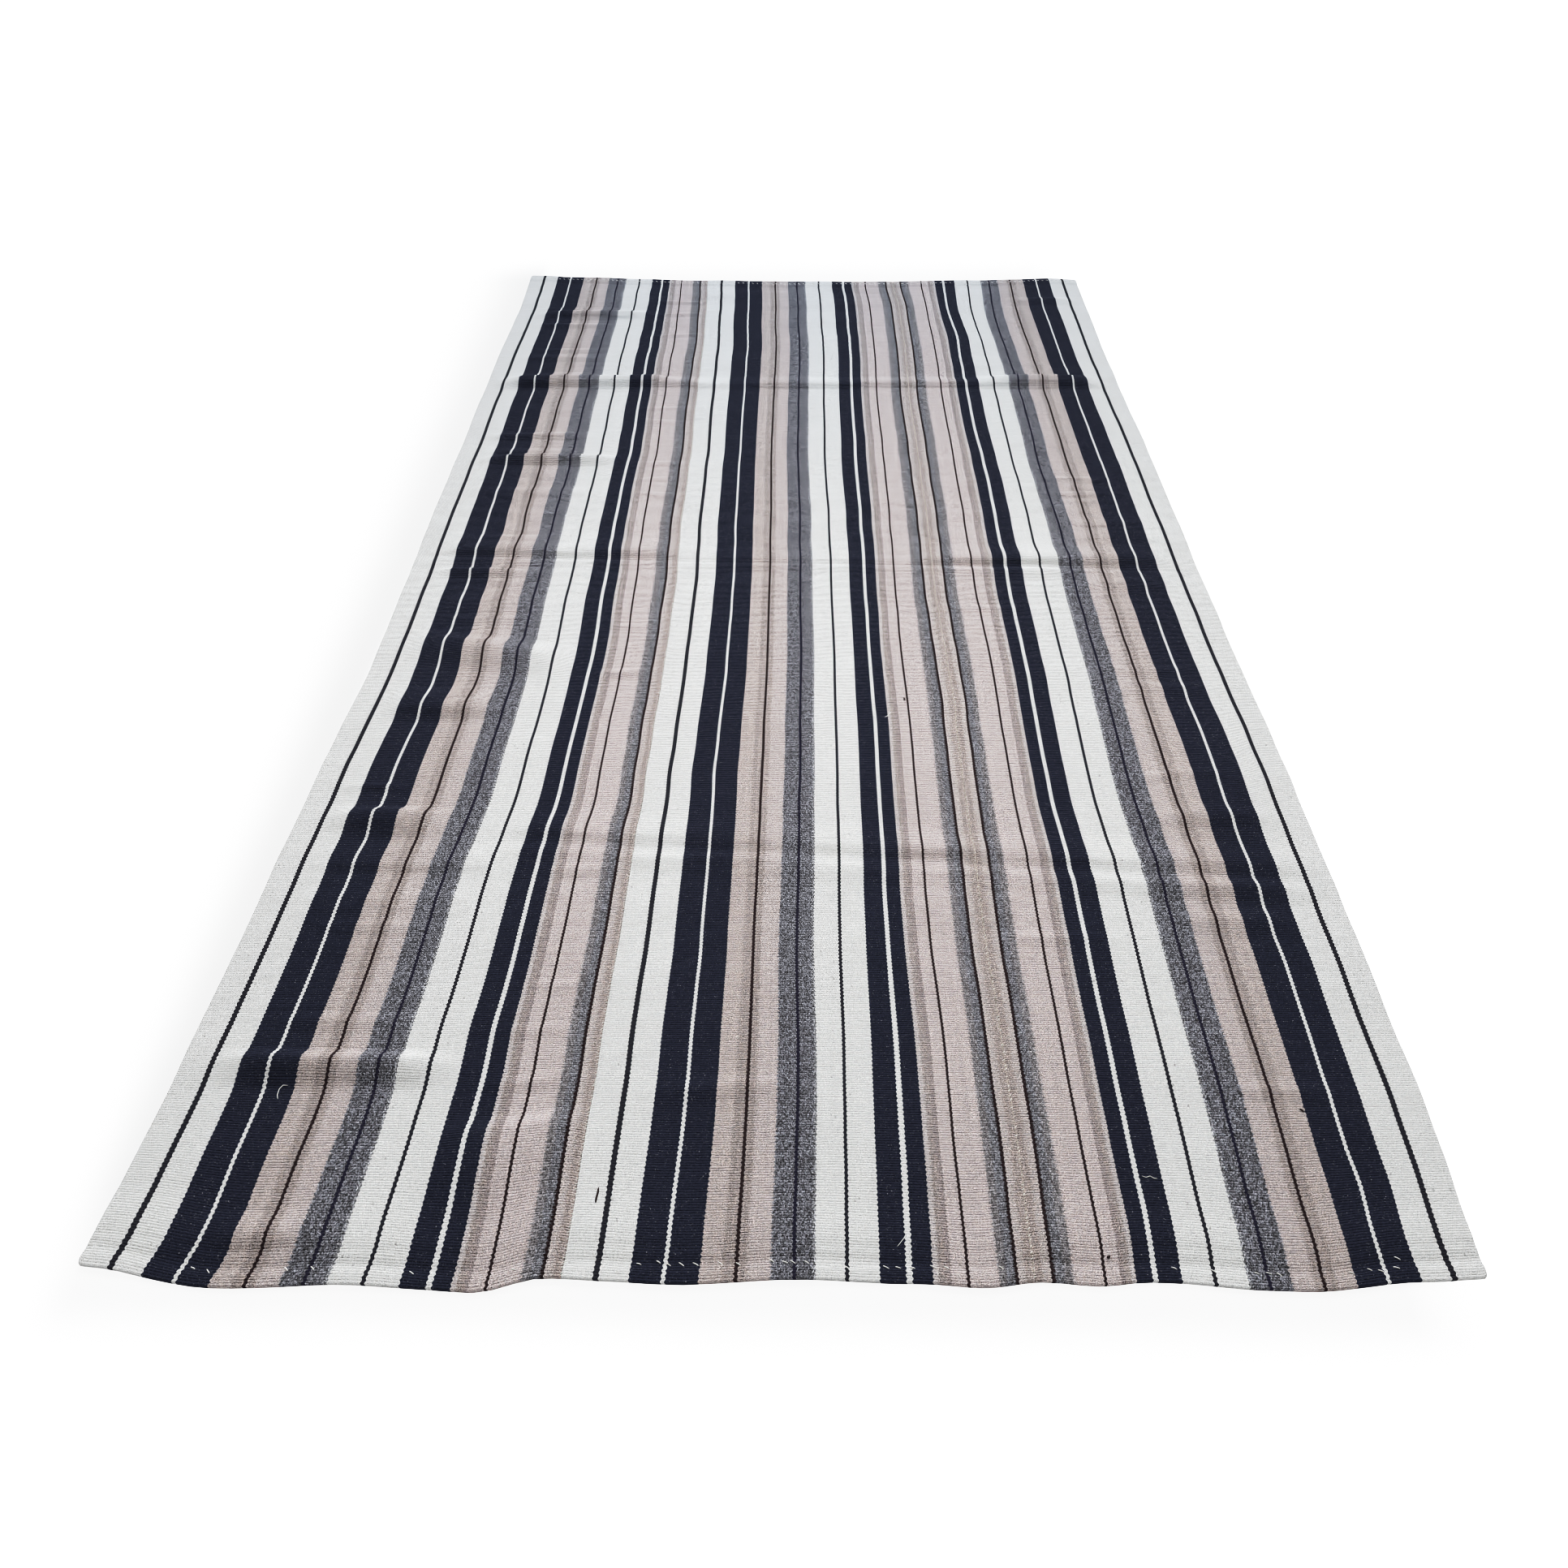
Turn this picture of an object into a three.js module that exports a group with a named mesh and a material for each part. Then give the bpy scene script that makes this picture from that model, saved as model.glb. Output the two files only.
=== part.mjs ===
// A flat-woven wool rug of three loom strips sewn edge to edge, lying loose on a floor.
// Millimetres, +Z up, +Y along the stripes from the near hem to the far hem.
// The origin is the bottom centre of the rug's own box.
// "across" is a place on the cloth from the left edge to the right one, with 0 in the middle.
// "along" is a place on the cloth from the near hem, 0, to the far hem.
import * as THREE from 'three';

// The cloth.
const RUG_LENGTH = 3270;
const LEFT_EDGE = -900;
const LEFT_SEAM = -285;
const RIGHT_SEAM = 310;
const RIGHT_EDGE = 900;
const HALF_GAP = 0.15;
const CLOTH_THICKNESS = 2.8;
const WOOL_ROUGHNESS = 0.95;

// The end hems: the cloth is turned under once, so it is two layers thick there.
const HEM_DEPTH = 28;
const HEM_EASE = 16;
const HEM_NOSE = 1.8;

// The grid that each strip is drawn on.
const ROW_STEP = 85;
const CLOSEST_ROWS = 9;
const LEAST_STEP = 2.5;
const HALF_WAY_DOWN = 0.5;
const SMALL_FOLD = 3.2;
const GENTLE_SLANT = 0.08;

// How far the hems stand off a straight line, towards the far hem.
const HEM_DRIFT_REACH = 320;
const NEAR_HEM = [
  { across: -900, drift: 0 },
  { across: -800, drift: -20 },
  { across: -700, drift: -25 },
  { across: -550, drift: -20 },
  { across: -400, drift: -28 },
  { across: -285, drift: -8 },
  { across: -100, drift: -17 },
  { across: 0, drift: -10 },
  { across: 240, drift: -16 },
  { across: 480, drift: -8 },
  { across: 680, drift: -17 },
  { across: 900, drift: 0 },
];
const FAR_HEM = [
  { across: -900, drift: 28 },
  { across: -600, drift: 14 },
  { across: -350, drift: 0 },
  { across: -100, drift: -16 },
  { across: 200, drift: -28 },
  { across: 500, drift: -14 },
  { across: 770, drift: 10 },
  { across: 900, drift: -4 },
];

// How far the edges, the seams and the middle of each strip wander to the right of a straight line.
// A row's "drift" holds one place for each of the lines.
const WANDER_LINES = [LEFT_EDGE, -530, LEFT_SEAM, 0, RIGHT_SEAM, 530, RIGHT_EDGE];
const WANDER = [
  { along: 0, drift: [2, 9, 12, 17, 20, 12, 0] },
  { along: 300, drift: [18, 17, 16, 21, 18, 15, 13] },
  { along: 600, drift: [24, 24, 21, 18, 13, 16, 16] },
  { along: 900, drift: [30, 40, 23, 20, 12, 7, 18] },
  { along: 1200, drift: [41, 43, 27, 19, 11, 13, 14] },
  { along: 1500, drift: [37, 35, 27, 16, 6, 13, 10] },
  { along: 1800, drift: [29, 27, 18, 12, 9, 15, 11] },
  { along: 2100, drift: [26, 25, 16, 5, 8, 11, 11] },
  { along: 2400, drift: [20, 16, 8, 4, 5, 11, 7] },
  { along: 2700, drift: [16, 11, 4, 4, 10, 10, 4] },
  { along: 3000, drift: [16, 9, -5, -3, 10, 0, 7] },
  { along: 3270, drift: [7, 3, -14, -9, -1, 8, 8] },
];

// The folds left from storage. "at" is where the crest lies along the rug, "slant" how fast it drifts
// along for each step across, "from" and "to" its stretch across, "fade" how gradually it dies out
// there, "near" and "far" how far its foot lies from the crest towards each hem.
const FOLDS = [
  // The crease right across near the far hem, which stands up, higher at both sides.
  { at: 2480, slant: 0, from: -900, to: 900, fade: 0, height: 9, near: 28, far: 60 },
  { at: 2500, slant: 0, from: -1200, to: -330, fade: 300, height: 14, near: 44, far: 40 },
  { at: 2502, slant: 0, from: 480, to: 1150, fade: 260, height: 13, near: 44, far: 40 },
  // The crease right across the middle: a groove between a low ridge and a higher shoulder beyond it.
  { at: 1572, slant: -0.02, from: -900, to: 900, fade: 0, height: 1.5, near: 26, far: 16 },
  { at: 1560, slant: 0, from: 300, to: 1150, fade: 240, height: 3, near: 50, far: 20 },
  { at: 1613, slant: -0.02, from: -900, to: 900, fade: 0, height: 4, near: 25, far: 85 },
  { at: 1632, slant: 0, from: -1200, to: -350, fade: 300, height: 5, near: 32, far: 80 },
  { at: 1606, slant: 0, from: 260, to: 1150, fade: 240, height: 8, near: 25, far: 80 },
  // The softer groove nearest the near hem, with its ridge and its shoulder.
  { at: 682, slant: -0.06, from: -900, to: 900, fade: 120, height: 3.5, near: 38, far: 24 },
  { at: 735, slant: -0.06, from: -900, to: 900, fade: 120, height: 5, near: 28, far: 60 },
  { at: 642, slant: 0, from: 560, to: 830, fade: 70, height: 3.5, near: 34, far: 26 },
  // The ripples along the left edge, steep on their far side.
  { at: 2972, slant: 0, from: -860, to: -430, fade: 130, height: 14, near: 44, far: 40 },
  { at: 2172, slant: 0, from: -850, to: -560, fade: 70, height: 5, near: 20, far: 15 },
  { at: 2061, slant: 0, from: -860, to: -400, fade: 130, height: 16, near: 38, far: 30 },
  { at: 1900, slant: 0, from: -850, to: -480, fade: 110, height: 5, near: 45, far: 35 },
  { at: 1556, slant: 0, from: -850, to: -620, fade: 60, height: 5, near: 30, far: 16 },
  { at: 1240, slant: -0.17, from: -860, to: -430, fade: 130, height: 15, near: 55, far: 60 },
  { at: 1086, slant: 0, from: -850, to: -580, fade: 80, height: 13, near: 42, far: 40 },
  { at: 790, slant: 0, from: -870, to: -420, fade: 130, height: 17, near: 55, far: 34 },
  { at: 655, slant: 0, from: -850, to: -500, fade: 90, height: 4, near: 34, far: 30 },
  { at: 293, slant: 0, from: -870, to: -450, fade: 120, height: 15, near: 46, far: 26 },
  // The hump and the short crests along the right edge.
  { at: 900, slant: 0, from: 640, to: 880, fade: 80, height: 12, near: 320, far: 265 },
  { at: 572, slant: 0, from: 590, to: 840, fade: 80, height: 5, near: 36, far: 28 },
  { at: 798, slant: 0, from: 600, to: 860, fade: 80, height: 5, near: 32, far: 34 },
  { at: 1152, slant: 0, from: 590, to: 840, fade: 80, height: 4, near: 32, far: 34 },
  { at: 1505, slant: 0, from: 560, to: 860, fade: 90, height: 5, near: 45, far: 40 },
  { at: 1764, slant: 0, from: 590, to: 860, fade: 80, height: 4, near: 32, far: 40 },
  { at: 3080, slant: 0, from: 640, to: 900, fade: 90, height: 7, near: 50, far: 40 },
  // The swell beside the left seam, near the hem.
  { at: 195, slant: 0.1, from: -500, to: -270, fade: 70, height: 8, near: 130, far: 30 },
];

// The strips, each in its own yarn shade.
const STRIPS = [
  { name: 'strip_left', from: LEFT_EDGE, to: LEFT_SEAM - HALF_GAP, columns: 11, shade: '#a69c97' },
  {
    name: 'strip_middle', from: LEFT_SEAM + HALF_GAP, to: RIGHT_SEAM - HALF_GAP,
    columns: 8, shade: '#9d9490',
  },
  { name: 'strip_right', from: RIGHT_SEAM + HALF_GAP, to: RIGHT_EDGE, columns: 9, shade: '#aaa09b' },
];

// A soft start and end between 0 and 1.
function ease(share) {
  const t = Math.min(Math.max(share, 0), 1);
  return t * t * (3 - 2 * t);
}

// The value of one column of a table at a place between its rows.
function between(rows, place, key, column) {
  const last = rows.length - 1;
  const next = rows.findIndex((row) => row[key] >= place);
  if (next === 0) return rows[0][column];
  if (next === -1) return rows[last][column];
  const [low, high] = [rows[next - 1], rows[next]];
  const share = ease((place - low[key]) / (high[key] - low[key]));
  return low[column] + (high[column] - low[column]) * share;
}

// How far the cloth lies to the right of its place on a straight rug.
function wander(across, along) {
  const lines = WANDER_LINES.map((place, line) => {
    const rows = WANDER.map((row) => ({ along: row.along, drift: row.drift[line] }));
    return { across: place, drift: between(rows, along, 'along', 'drift') };
  });
  return between(lines, across, 'across', 'drift');
}

// How far the cloth lies beyond its place along, because its hems aren't straight.
function hemDrift(across, along) {
  const near = between(NEAR_HEM, across, 'across', 'drift');
  const far = between(FAR_HEM, across, 'across', 'drift');
  const nearShare = 1 - ease(along / HEM_DRIFT_REACH);
  const farShare = 1 - ease((RUG_LENGTH - along) / HEM_DRIFT_REACH);
  return near * nearShare + far * farShare;
}

// The height of one fold at a place on the cloth: a rounded crest that runs out on the floor.
function foldHeight(fold, across, along) {
  if (across < fold.from || across > fold.to) return 0;
  const crest = fold.at + fold.slant * (across - (fold.from + fold.to) / 2);
  const distance = along - crest;
  const share = Math.abs(distance) / (distance < 0 ? fold.near : fold.far);
  const ends = fold.fade
    ? ease((across - fold.from) / fold.fade) * ease((fold.to - across) / fold.fade)
    : 1;
  return fold.height * ends * ease(1 - share);
}

// The height of the cloth's underside above the floor, 0 where it lies flat.
function lift(across, along) {
  return FOLDS.reduce((sum, fold) => sum + foldHeight(fold, across, along), 0);
}

function thickness(along) {
  const fromEnd = Math.min(along, RUG_LENGTH - along);
  return CLOTH_THICKNESS * (2 - ease((fromEnd - HEM_DEPTH) / HEM_EASE));
}

// The rows of the grid: at the crest, feet and slopes of each main fold, at the hems, and evenly
// between. Each is a place along in the middle of the rug and a slant.
function gridRows() {
  const wanted = [HEM_NOSE, HEM_DEPTH, HEM_DEPTH + HEM_EASE].flatMap((fromEnd) => [
    { at: fromEnd, slant: 0 },
    { at: RUG_LENGTH - fromEnd, slant: 0 },
  ]);
  for (const fold of FOLDS.filter((one) => one.height > SMALL_FOLD)) {
    const slant = Math.abs(fold.slant) < GENTLE_SLANT ? fold.slant : 0;
    for (const share of [0, 1, HALF_WAY_DOWN]) {
      wanted.push({ at: fold.at - fold.near * share, slant }, { at: fold.at + fold.far * share, slant });
    }
  }
  const rows = [];
  for (const row of wanted) {
    const inside = row.at >= HEM_NOSE && row.at <= RUG_LENGTH - HEM_NOSE;
    if (inside && rows.every((other) => Math.abs(other.at - row.at) >= CLOSEST_ROWS)) rows.push(row);
  }
  rows.sort((one, other) => one.at - other.at);
  const filled = [rows[0]];
  for (const row of rows.slice(1)) {
    const start = filled[filled.length - 1].at;
    const steps = Math.ceil((row.at - start) / ROW_STEP);
    for (let step = 1; step < steps; step += 1) {
      filled.push({ at: start + ((row.at - start) * step) / steps, slant: 0 });
    }
    filled.push(row);
  }
  return filled;
}

const GRID_ROWS = gridRows();

// Where the rows lie along in one column, in order and never closer than the least step.
function rowPlaces(across) {
  const places = GRID_ROWS.map((row) => row.at + row.slant * across).sort((one, other) => one - other);
  for (let row = 1; row < places.length - 1; row += 1) {
    places[row] = Math.max(places[row], places[row - 1] + LEAST_STEP);
  }
  return places;
}

// One strip: a top grid, an underside grid, and a rim round both, with a rounded nose at each hem.
function stripGeometry(strip) {
  const points = [];
  const faces = [];
  const columns = strip.columns + 1;
  const point = (across, along, height) => {
    points.push(across + wander(across, along), along + hemDrift(across, along), height);
    return points.length / 3 - 1;
  };
  const quad = (a, b, c, d) => faces.push(a, b, c, a, c, d);

  const top = [];
  const under = [];
  const noses = [[], []];
  for (let column = 0; column < columns; column += 1) {
    const across = strip.from + ((strip.to - strip.from) * column) / strip.columns;
    const places = rowPlaces(across);
    top.push(places.map((along) => point(across, along, lift(across, along) + thickness(along))));
    under.push(places.map((along) => point(across, along, lift(across, along))));
    [0, RUG_LENGTH].forEach((along, end) => {
      noses[end].push(point(across, along, lift(across, along) + CLOTH_THICKNESS));
    });
  }

  const last = GRID_ROWS.length - 1;
  for (let column = 0; column < strip.columns; column += 1) {
    for (let row = 0; row < last; row += 1) {
      quad(top[column][row], top[column + 1][row], top[column + 1][row + 1], top[column][row + 1]);
      quad(under[column][row], under[column][row + 1], under[column + 1][row + 1], under[column + 1][row]);
    }
    quad(noses[0][column], noses[0][column + 1], top[column + 1][0], top[column][0]);
    quad(under[column][0], under[column + 1][0], noses[0][column + 1], noses[0][column]);
    quad(top[column][last], top[column + 1][last], noses[1][column + 1], noses[1][column]);
    quad(noses[1][column], noses[1][column + 1], under[column + 1][last], under[column][last]);
  }
  const side = strip.columns;
  for (let row = 0; row < last; row += 1) {
    quad(under[0][row], top[0][row], top[0][row + 1], under[0][row + 1]);
    quad(under[side][row + 1], top[side][row + 1], top[side][row], under[side][row]);
  }
  faces.push(noses[0][0], top[0][0], under[0][0], noses[0][side], under[side][0], top[side][0]);
  faces.push(noses[1][0], under[0][last], top[0][last], noses[1][side], top[side][last], under[side][last]);

  const geometry = new THREE.BufferGeometry();
  geometry.setAttribute('position', new THREE.Float32BufferAttribute(points, 3));
  geometry.setIndex(faces);
  geometry.computeVertexNormals();
  return geometry;
}

function woolMaterial(strip) {
  return new THREE.MeshStandardMaterial({ color: strip.shade, roughness: WOOL_ROUGHNESS, metalness: 0 });
}

const rug = new THREE.Group();
for (const strip of STRIPS) {
  const mesh = new THREE.Mesh(stripGeometry(strip), woolMaterial(strip));
  mesh.name = strip.name;
  rug.add(mesh);
}

// The origin goes to the bottom centre of the rug's box.
const centre = new THREE.Box3().setFromObject(rug).getCenter(new THREE.Vector3());
rug.position.set(-centre.x, -centre.y, 0);

export default rug;
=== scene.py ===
"""A flat-woven striped wool rug of three sewn strips, lying with its storage creases on a pale floor."""

import math
from collections import namedtuple

import bpy
import numpy as np
from mathutils import Matrix, Vector


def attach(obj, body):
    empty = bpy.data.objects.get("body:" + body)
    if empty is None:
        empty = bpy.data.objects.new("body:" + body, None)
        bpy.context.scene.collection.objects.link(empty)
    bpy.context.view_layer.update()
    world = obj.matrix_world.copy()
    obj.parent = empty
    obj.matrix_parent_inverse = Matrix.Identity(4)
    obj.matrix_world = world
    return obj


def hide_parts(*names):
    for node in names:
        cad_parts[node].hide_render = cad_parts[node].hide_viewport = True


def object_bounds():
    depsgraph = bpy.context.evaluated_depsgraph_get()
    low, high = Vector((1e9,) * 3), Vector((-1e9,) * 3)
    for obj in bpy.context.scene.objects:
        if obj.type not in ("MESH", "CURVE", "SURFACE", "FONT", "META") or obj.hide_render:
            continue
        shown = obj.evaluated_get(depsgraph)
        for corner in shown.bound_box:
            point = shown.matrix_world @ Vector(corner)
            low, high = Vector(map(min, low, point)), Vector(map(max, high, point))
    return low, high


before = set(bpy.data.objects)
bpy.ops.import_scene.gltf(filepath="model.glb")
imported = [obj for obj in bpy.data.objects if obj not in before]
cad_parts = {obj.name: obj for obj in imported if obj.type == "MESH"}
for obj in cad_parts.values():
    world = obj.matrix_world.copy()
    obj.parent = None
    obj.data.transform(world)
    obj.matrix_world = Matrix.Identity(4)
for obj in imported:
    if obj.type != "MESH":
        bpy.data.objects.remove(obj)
cad_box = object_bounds()

# Lengths are in millimetres, apart from those that go to Blender, which are in metres.
# "across" is a place on the cloth from the left edge to the right one, with 0 in the middle.
# "along" is a place on the cloth from the near hem, 0, to the far hem.
MM = 0.001

# The cloth, as in the part's source.
RUG_LENGTH = 3270.0
LEFT_EDGE = -900.0
LEFT_SEAM = -285.0
RIGHT_SEAM = 310.0
RIGHT_EDGE = 900.0
HALF_GAP = 0.15
CLOTH_THICKNESS = 2.8
HEM_DEPTH = 28.0
HEM_EASE = 20.0
HEM_NOSE = 1.8
HEM_DRIFT_REACH = 320.0
# The near hem is pressed down along its stitches.
STITCH_LINE = 25.0
STITCH_GROOVE = 2.0
STITCH_GROOVE_REACH = 14.0

# The weave. Warp threads are counted from a strip's first edge, for a strip of the nominal width.
NOMINAL_WIDTH = 600.0
WARP_THREADS = 462
THREAD_PITCH = NOMINAL_WIDTH / WARP_THREADS
RIBS = 948
RIB_PITCH = RUG_LENGTH / RIBS
RIB_DEPTH = 0.58
ROWS_PER_RIB = 3
SPARE_RIBS = 20

# The grid that each strip is drawn on.
UNDER_STEP = 12
NOSE_ROWS = 6
EDGE_COLUMNS = (0.0, 1.2, 4.0, 10.0)
EDGE_DROP = 0.4
EDGE_ROUND = 3.0
SCALLOP = 0.3

# How uneven the cloth is: each is the size of one kind of bump, its reach across and its reach along.
Bumps = namedtuple("Bumps", "size across along seed")
BUMPS_START = (40, 3)
SWELL = Bumps(2.2, 110.0, 75.0, 12)
RIPPLE = Bumps(0.45, 90.0, 14.0, 13)
MEANDER = Bumps(1.1, 160.0, 70.0, 11)
RIB_BEND = Bumps(0.9, 64.0, 10.0, 14)
FLAT_SHARE = 0.4
# The puckers beside the seams.
PUCKER = 1.1
PUCKER_DIP = -0.2
PUCKER_ALONG = 21.0
PUCKER_REACH = 24.0
PUCKER_START = 3
PUCKER_APART = 7.0
PUCKER_SEEDS = {LEFT_SEAM: 21, RIGHT_SEAM: 22}
# How far the ribs bend towards the near hem where the sewing pulls on the selvedges.
SEAM_PULL = 2.0
SEAM_PULL_REACH = 9.0

# How far each hem lies beyond its straight line along the rug, by the place across.
NEAR_HEM = {
    -900: -9, -710: -34, -565: -27.5, -395: -34.5, -305: -16, -145: -21.5, 10: -13.5, 150: -16, 235: -20.5,
    325: -12, 390: -15, 460: -9.5, 665: -19.5, 820: -4, 900: 0,
}
FAR_HEM = {
    -900: 18, -845: 15, -780: 0, -660: -1, -530: -12, -305: -28, -240: -25, -125: -34, 0: -40, 90: -36,
    190: -46, 300: -45, 400: -36, 520: -30, 600: -31, 700: -26, 820: -19, 900: -30,
}

# How far the cloth wanders to the right of each of these straight lines, by the place along.
WANDER_LINES = [LEFT_EDGE, -530, LEFT_SEAM, 0, RIGHT_SEAM, 530, RIGHT_EDGE]
WANDER = {
    0: (2, 9, 12, 17, 20, 12, 0),
    300: (18, 17, 16, 21, 18, 15, 13),
    600: (24, 24, 21, 18, 13, 16, 16),
    900: (30, 40, 23, 20, 12, 7, 18),
    1200: (41, 43, 27, 19, 11, 13, 14),
    1500: (37, 35, 27, 16, 6, 13, 10),
    1800: (29, 27, 18, 12, 9, 15, 11),
    2100: (26, 25, 16, 5, 8, 11, 11),
    2400: (20, 16, 8, 4, 5, 11, 7),
    2700: (16, 11, 4, 4, 10, 10, 4),
    3000: (16, 9, -5, -3, 10, 0, 7),
    3270: (7, 3, -14, -9, -1, 8, 8),
}

# How far the sewing and the turning of the near hem draw the cloth to the right, by the place across: at
# the hem and a little beyond it.
HEM_PULL = {
    -900: (-0.5, 1), -768: (-7, 4.7), -620: (-6.5, -1.2), -540: (-4, -1), -450: (0, 2), -340: (0, 0.5),
    -285: (0, 0.7), -150: (-6, -2.8), 5: (3.5, 3), 75: (0.3, 1.2), 148: (0, 0), 230: (3.3, 3.2),
    310: (-2.5, -1.7), 395: (0.6, 2.5), 478: (-1.8, 2.2), 560: (-2, -1), 620: (-2.3, -0.8), 770: (-0.3, 2),
    900: (-1, -2.3),
}
HEM_PULL_REACH = 54.0
HEM_PULL_END = 200.0

# Where the stripes of one place lie further to the right than their neighbours, and how far that reaches.
Nudge = namedtuple("Nudge", "across along to_right reach_across reach_along")
NUDGES = [Nudge(*row) for row in (
    (-768, 40, -2, 60, 40), (-545, 48, 2, 50, 45), (478, 55, -2.5, 60, 45), (620, 50, -1.5, 50, 40),
    (800, 56, -3.5, 110, 50), (770, 130, 2.5, 70, 55), (-768, 1120, 3.5, 90, 180),
    (-740, 1480, 3, 110, 150), (-690, 1710, 5, 130, 130), (-620, 1980, 3, 90, 220),
    (-768, 2450, 3, 80, 400), (-620, 2980, 3, 90, 220), (-400, 1300, 4, 130, 240),
    (-340, 880, 4.5, 80, 200), (-430, 1930, -3, 100, 150), (-340, 2800, 4, 80, 240),
    (-150, 960, -5, 100, 330), (5, 260, 2.5, 70, 170), (108, 180, -3.5, 50, 480), (186, 180, 3.2, 50, 420),
    (230, 330, 2.5, 70, 200), (200, 1290, -4, 100, 190), (110, 1990, -2.8, 120, 260),
    (310, 1110, 3.5, 60, 140), (395, 1700, -3.8, 70, 560), (478, 2000, 4, 70, 200), (478, 2830, 7, 70, 210),
    (620, 1990, -5.5, 90, 290), (620, 2790, -5.5, 90, 370), (770, 420, 3.5, 90, 170),
    (770, 850, -4, 90, 170), (770, 1640, -3.2, 90, 180), (770, 2500, 3, 90, 150),
)]
CORNER_RADIUS = 7.0
CORNER_REACH = 21.0

# The folds left from storage: where the crest lies along the rug, its stretch across, how gradually it
# dies out there, its height, how far its foot lies from the crest towards each hem, and how fast it
# drifts along for each step across.
Fold = namedtuple("Fold", "at left right fade height near far slant", defaults=[0])
FOLDS = [Fold(*row) for row in (
    # The crease right across near the far hem, which stands up, higher at both sides.
    (2484, -900, 900, 120, 9, 28, 60), (2484, -285, -90, 60, -3.5, 28, 60),
    (2508, -880, -330, 90, 14, 44, 40), (2512, 480, 860, 130, 13, 44, 40),
    # The crease right across the middle: a groove between a low ridge and a higher shoulder beyond it.
    (1580, -900, 900, 100, 2.5, 26, 14, -0.03), (1560, 300, 620, 60, 3.5, 40, 20),
    (1613, -900, 900, 100, 4, 25, 85, -0.03), (1637, -860, -290, 60, 6, 32, 80),
    (1606, 260, 870, 120, 8, 25, 80),
    # The softer groove nearest the near hem, with its ridge and its shoulder.
    (672, -560, 900, 120, 3.5, 38, 24, -0.06), (725, -560, 900, 120, 5, 28, 60, -0.06),
    (722, 150, 340, 60, 4, 28, 50), (642, 560, 830, 70, 3.5, 34, 26),
    # The ripples along the left edge, steep on their far side.
    (2972, -860, -430, 130, 14, 44, 40), (2187, -850, -560, 70, 7, 26, 25),
    (2061, -860, -440, 130, 16, 38, 30), (1900, -850, -480, 110, 5, 45, 35),
    (1556, -850, -620, 60, 9, 30, 16), (1268, -860, -470, 130, 17, 80, 60, -0.17),
    (1086, -850, -580, 80, 13, 42, 80), (790, -870, -605, 120, 17, 55, 34),
    (680, -850, -500, 90, 5, 26, 60), (600, -850, -500, 90, 3, 60, 30), (293, -870, -480, 120, 15, 46, 26),
    *((at, -850, -560, 80, *shape) for at, *shape in (
        (3012, 6, 24, 20), (2892, 5, 30, 20), (2660, 4, 26, 36), (2545, 5, 26, 24), (2097, 5, 24, 30),
        (1440, 4, 60, 50))),
    # The hump and the short crests along the right edge.
    (900, 640, 880, 80, 12, 320, 265), (572, 590, 840, 80, 5, 36, 28), (798, 600, 860, 80, 5, 32, 34),
    (1152, 590, 840, 80, 4, 32, 34), (1512, 600, 860, 90, 6, 40, 50), (1764, 590, 860, 80, 4, 32, 40),
    (3080, 640, 900, 90, 7, 50, 40),
    # The swell beside the left seam, near the hem.
    (195, -500, -270, 70, 12, 130, 30, 0.1),
    # The cloth stands up a little beyond the near hem's stitches, and more near its left corner.
    (66, -770, -600, 60, 6, 26, 34), (54, -900, 900, 0, 3.2, 26, 60),
    # Short ripples on the left of the left seam.
    (3074, -460, -290, 50, 5, 24, 16), (2969, -460, -290, 50, 5.5, 24, 16, 0.1),
    (2819, -450, -290, 50, 5, 24, 14, 0.15), (2269, -450, -290, 50, 2.5, 22, 14, -0.12),
    (1964, -440, -290, 50, 2.5, 24, 15, 0.1), (1892, -440, -300, 50, 3, 22, 14, -0.1),
    (1199, -450, -290, 50, 5.5, 24, 15, 0.12), (672, -450, -290, 50, 4, 24, 16),
    (434, -450, -300, 50, 2.5, 22, 14), (354, -450, -300, 50, 2.5, 22, 14, 0.1),
    (269, -450, -300, 50, 3.5, 22, 14, 0.15),
    *((at, -450, -290, 50, 2.5, 22, 14) for at in (2344, 2044, 1354)),
    # Short ripples in the left strip's outer half.
    (2330, -810, -560, 80, 3, 40, 45), (866, -830, -730, 30, 4, 18, 14),
    *((at, -810, -560, 80, 3, 26, 18) for at in (2714, 1694, 1379, 544, 364)),
    # Short ripples in the middle strip.
    (262, -220, 10, 70, 5, 34, 18, 0.1), (700, -230, 20, 60, 2, 24, 16),
    # Short ripples in the right strip.
    *((at, 320, 520, 60, 3, 24, 16) for at in (1424, 534)),
    *((at, 600, 800, 60, 3, 24, 16) for at in (1964, 1892, 1214, 904, 264)),
)]
# The sharp crease that runs askew in the middle strip, from its near end to its far end.
Askew = namedtuple("Askew", "across along to_across to_along height left right")
ASKEW = Askew(150, 1190, 292, 1405, 4.6, 16, 9)
# The tuck that hides the white line of the right strip's inner dark stripe.
TUCK = Askew(438, 3235, 503, 2990, 3.5, 9, 12)
ASKEW_START = 0.18
ASKEW_END = 0.45
CREST_RADIUS = 4.0
CREST_SHARPNESS = 1.5

Strip = namedtuple("Strip", "name left right mirrored slot cad columns")
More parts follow.
